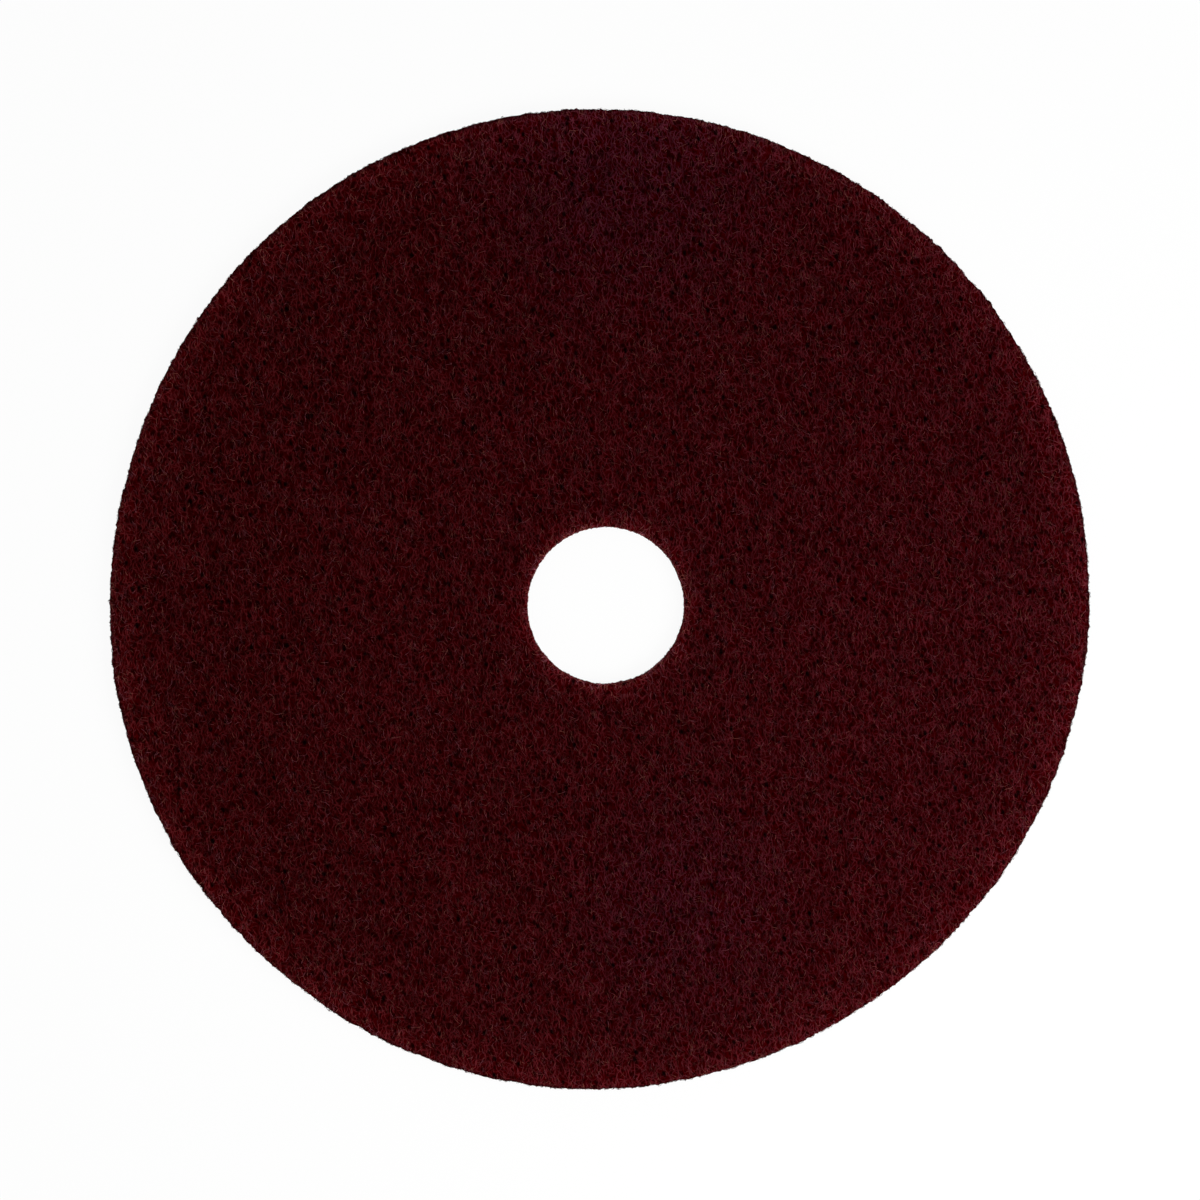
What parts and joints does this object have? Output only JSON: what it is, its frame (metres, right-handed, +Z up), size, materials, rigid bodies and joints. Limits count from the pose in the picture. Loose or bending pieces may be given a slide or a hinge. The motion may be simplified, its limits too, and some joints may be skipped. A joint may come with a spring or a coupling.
{
  "type": "floor polishing pad",
  "caption": "Flat round non-woven abrasive pad with a central hole, driven face down by a rotary floor machine to scrub, prepare or polish floors.",
  "frame": {"origin": "middle of the lower face, on the axis of the centre hole; the lower face lies on the plane Z = 0", "axes": "+Z up through the thickness, along the hole's axis and away from the floor; +X to the right and +Y to the top of the pictured face"},
  "size_m": [0.5083, 0.5082, 0.01],
  "materials": {
    "bonded_web": "matte dark maroon crimped nylon fibres bonded by resin and fine grit"
  },
  "bodies": {
    "root": {"polishing_pad": "bonded_web"}
  },
  "joints": []
}
